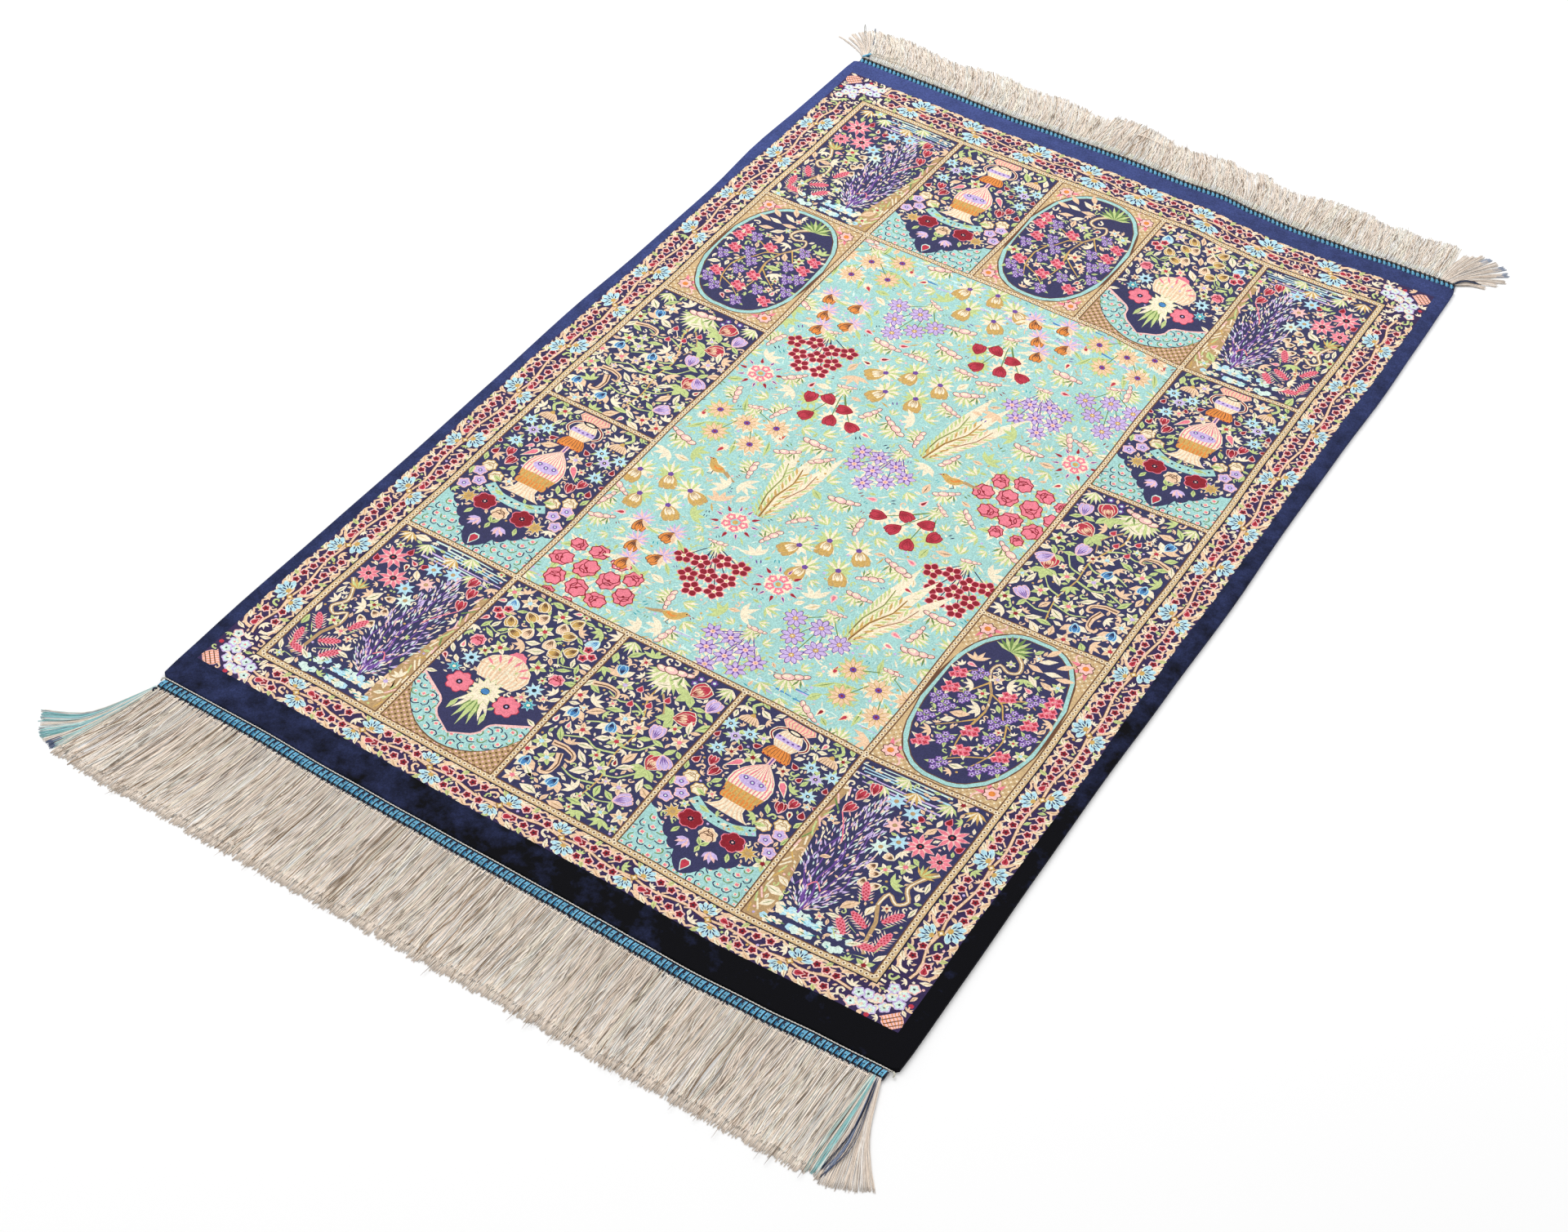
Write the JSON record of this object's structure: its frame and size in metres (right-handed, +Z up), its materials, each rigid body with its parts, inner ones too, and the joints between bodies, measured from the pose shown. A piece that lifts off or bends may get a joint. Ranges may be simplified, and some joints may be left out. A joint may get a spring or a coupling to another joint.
{
  "type": "persian rug",
  "caption": "Small flat knotted silk rug with wrapped blue end bindings, cream warp fringes at both ends and loose coloured yarns at the corners.",
  "frame": {"origin": "middle of the mat's underside, on the floor", "axes": "+Y along the rug towards its far end (the short fringe), +X across it, +Z up"},
  "size_m": [0.6865, 1.148, 0.0035],
  "materials": {
    "silk_pile": "dense cut silk pile with a soft sheen, patterned in navy, turquoise, cream, gold and red",
    "cream_warp": "matt twisted cream yarn",
    "blue_binding": "wrapped silk yarn, light blue over navy",
    "turquoise_yarn": "loose turquoise silk yarn",
    "dark_yarn": "loose navy silk yarn"
  },
  "bodies": {
    "root": {"rug_body": "silk_pile", "edge_cord_near": "cream_warp", "binding_near": "blue_binding", "binding_far": "blue_binding", "fringe_near": "cream_warp", "fringe_far": "cream_warp", "fan_near_right": "cream_warp", "fan_far_left": "cream_warp", "fan_far_right": "cream_warp", "tassel_near_left": "turquoise_yarn", "tassel_near_right": "turquoise_yarn", "threads_near_right": "dark_yarn", "threads_far_right": "dark_yarn"}
  },
  "joints": []
}
